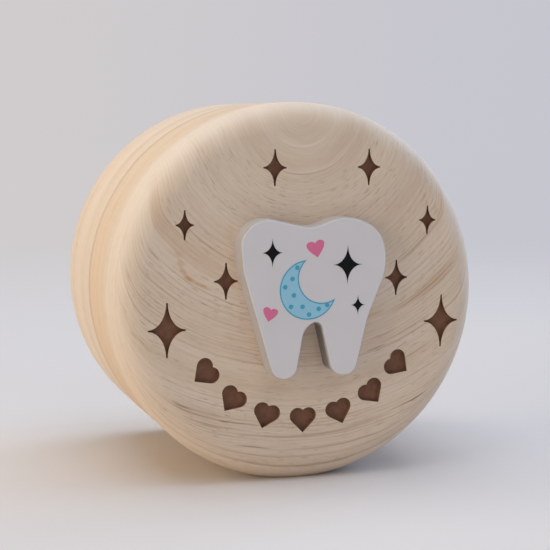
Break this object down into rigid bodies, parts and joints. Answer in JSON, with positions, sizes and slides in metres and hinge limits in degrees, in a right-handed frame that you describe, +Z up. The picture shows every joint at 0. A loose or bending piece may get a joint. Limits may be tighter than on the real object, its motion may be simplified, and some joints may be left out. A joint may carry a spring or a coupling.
{
  "type": "baby tooth box",
  "caption": "Round turned wooden keepsake box for baby teeth that stands on its rim, with a pull-off lid carrying a raised tooth plaque and burnt-in ornaments.",
  "frame": {"origin": "middle of the flat on the rim that the box stands on, which is the middle of the bounding box's underside", "axes": "+Z up, -Y out of the lid's face towards the viewer, +Y towards the back of the cup, +X to the viewer's right"},
  "size_m": [0.07, 0.054, 0.0695],
  "materials": {
    "lid_wood": "sanded pale softwood, oiled, with burnt-in ornaments",
    "cup_wood": "sanded pale softwood, oiled",
    "white_lacquer": "satin white lacquer with a small print",
    "nickel": "nickel plating",
    "felt": "pressed wool felt"
  },
  "bodies": {
    "cup": {"base_cup": "cup_wood", "base_magnets": "nickel", "base_felt": "felt"},
    "lid": {"lid": "lid_wood", "tooth_plaque": "white_lacquer", "lid_magnets": "nickel", "lid_felt": "felt"}
  },
  "joints": [
    {"name": "lid_pull", "type": "slide", "parent": "cup", "child": "lid", "axis": [0, -1, 0], "range_m": [0, 0.06]}
  ]
}
